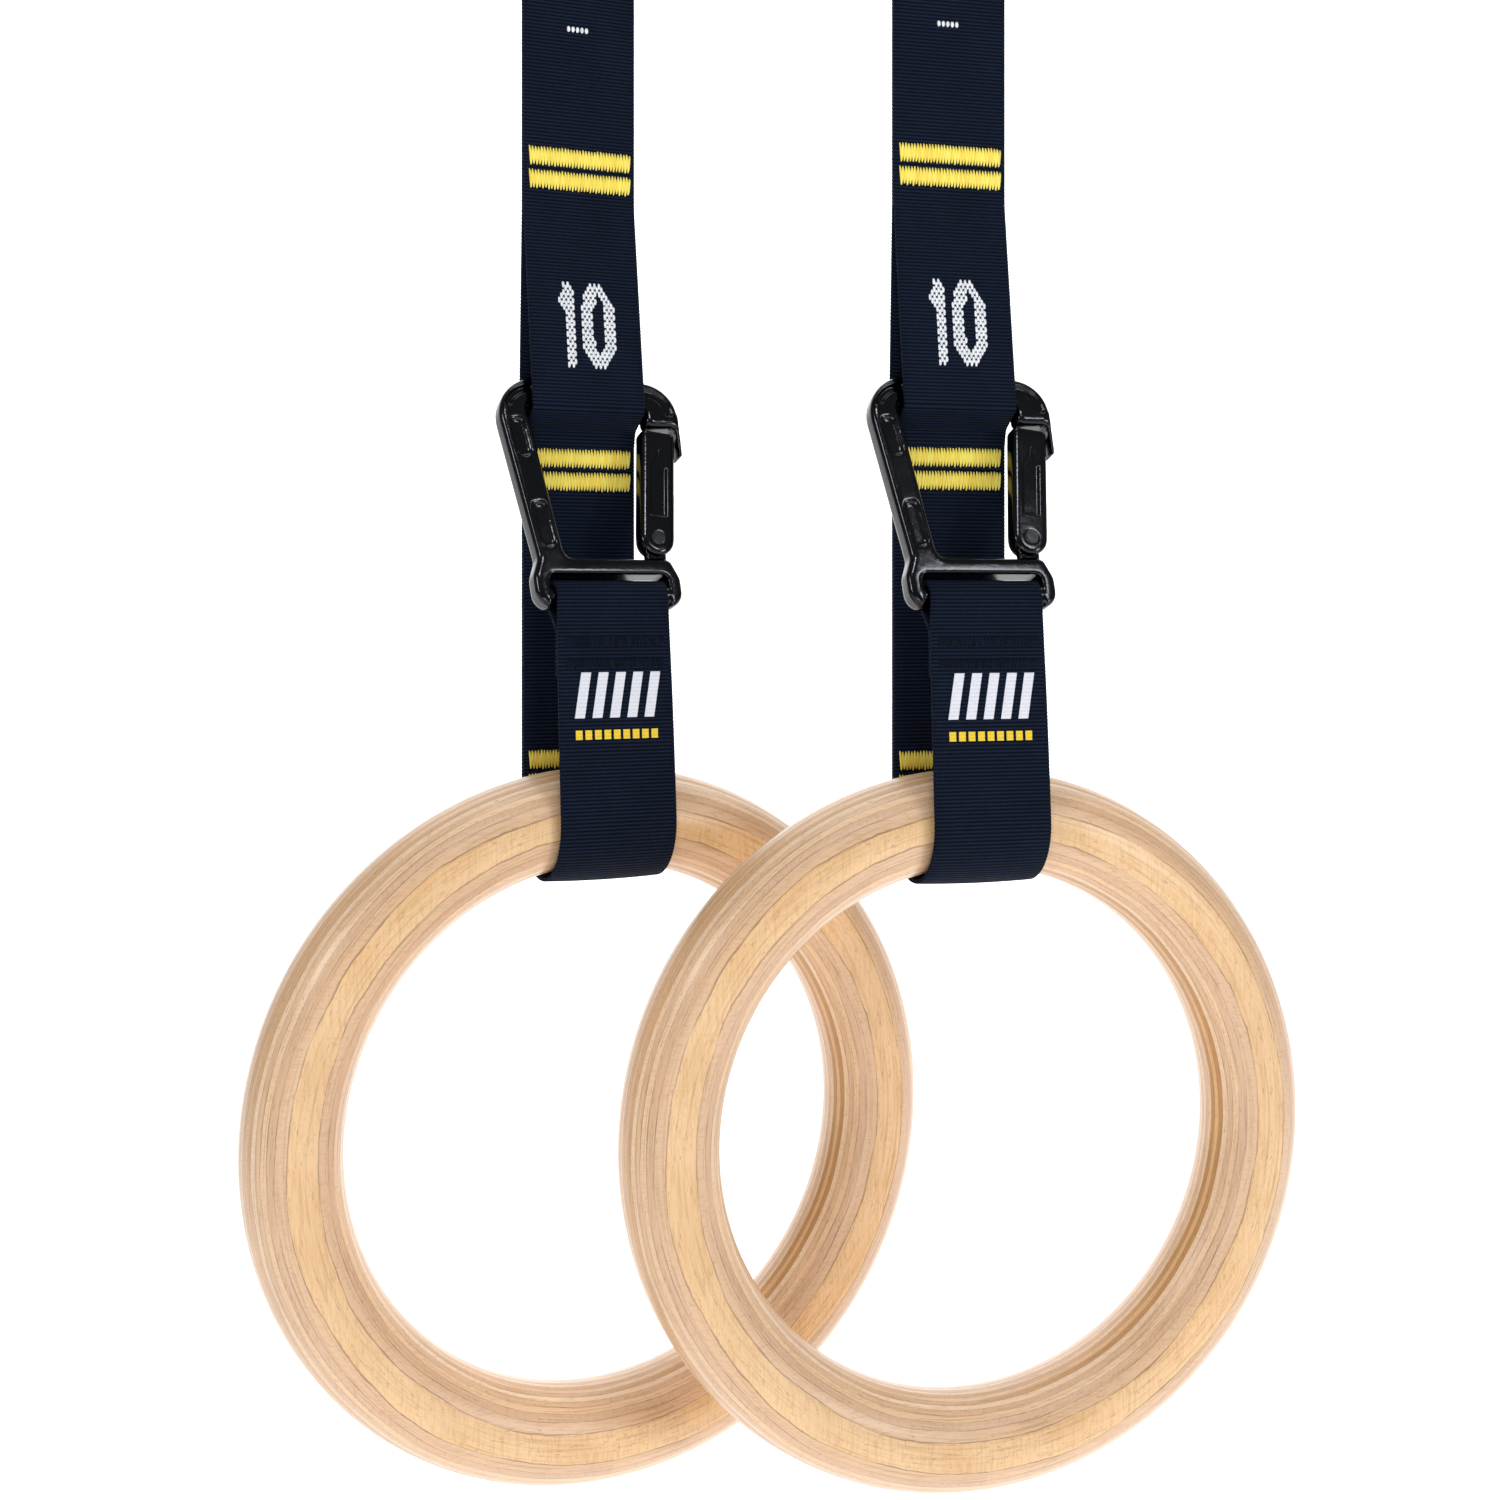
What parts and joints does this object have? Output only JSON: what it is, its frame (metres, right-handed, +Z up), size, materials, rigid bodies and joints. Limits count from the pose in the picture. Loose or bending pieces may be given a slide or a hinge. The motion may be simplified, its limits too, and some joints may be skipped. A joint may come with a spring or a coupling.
{
  "type": "gymnastics rings",
  "caption": "Pair of laminated wooden gymnastics rings, each hanging in the looped end of a bar-tacked webbing strap that a sprung carabiner clips at an adjustable height.",
  "frame": {"origin": "centre of the left strap's hanging eye, on the eye's round bearing surface's axis", "axes": "+Z up along the hanging straps, +X from the left ring towards the right ring, +Y away from the viewer"},
  "size_m": [0.3438, 0.1178, 0.607],
  "materials": {
    "birch_plywood": "clear satin lacquer over laminated birch",
    "webbing_navy": "fine ribbed weave with woven white marks",
    "thread_yellow": "satin stitch, slightly shiny",
    "thread_navy": "satin stitch",
    "alloy_black": "gloss black coating",
    "rivet_black": "gloss black coating",
    "spring_steel": "plain drawn wire"
  },
  "bodies": {
    "hang_eyes": {"left_hang_eye": "webbing_navy", "left_bar_tack_4": "thread_yellow", "right_hang_eye": "webbing_navy", "right_bar_tack_4": "thread_yellow"},
    "left_strap": {"left_strap_webbing": "webbing_navy", "left_pocket_webbing": "webbing_navy", "left_bar_tack_1": "thread_yellow", "left_bar_tack_2": "thread_yellow", "left_bar_tack_3": "thread_yellow", "left_band_tack": "thread_navy", "left_carabiner_frame": "alloy_black", "left_gate_pivot": "rivet_black"},
    "left_gate": {"left_carabiner_gate": "alloy_black", "left_gate_plunger": "spring_steel", "left_gate_spring": "spring_steel"},
    "left_ring": {"left_wooden_ring": "birch_plywood"},
    "right_strap": {"right_strap_webbing": "webbing_navy", "right_pocket_webbing": "webbing_navy", "right_bar_tack_1": "thread_yellow", "right_bar_tack_2": "thread_yellow", "right_bar_tack_3": "thread_yellow", "right_band_tack": "thread_navy", "right_carabiner_frame": "alloy_black", "right_gate_pivot": "rivet_black"},
    "right_gate": {"right_carabiner_gate": "alloy_black", "right_gate_plunger": "spring_steel", "right_gate_spring": "spring_steel"},
    "right_ring": {"right_wooden_ring": "birch_plywood"}
  },
  "joints": [
    {"name": "left_strap_swing", "type": "hinge", "parent": "hang_eyes", "child": "left_strap", "pos_m": [0, 0, -0.061], "axis": [0.9063, 0.4226, 0], "range_deg": [-0.5, 30]},
    {"name": "left_ring_tilt", "type": "hinge", "parent": "left_strap", "child": "left_ring", "pos_m": [0.00811, -0.0174, -0.37], "axis": [0.9063, 0.4226, 0], "range_deg": [-1, 60]},
    {"name": "left_carabiner_gate", "type": "hinge", "parent": "left_strap", "child": "left_gate", "pos_m": [0.02649, -0.01067, -0.27935], "axis": [0.3971, -0.8517, 0.342], "range_deg": [0, 25], "stiffness_Nm_per_rad": 0.15, "springref_deg": -17.19},
    {"name": "right_strap_swing", "type": "hinge", "parent": "hang_eyes", "child": "right_strap", "pos_m": [0.12512, -0.00694, -0.061], "axis": [0.9613, 0.2756, 0], "range_deg": [-30, 0.5]},
    {"name": "right_ring_tilt", "type": "hinge", "parent": "right_strap", "child": "right_ring", "pos_m": [0.13041, -0.0254, -0.37], "axis": [0.9613, 0.2756, 0], "range_deg": [-60, 1]},
    {"name": "right_carabiner_gate", "type": "hinge", "parent": "right_strap", "child": "right_gate", "pos_m": [0.14962, -0.02163, -0.27935], "axis": [0.259, -0.9033, 0.342], "range_deg": [0, 25], "stiffness_Nm_per_rad": 0.15, "springref_deg": -17.19}
  ]
}
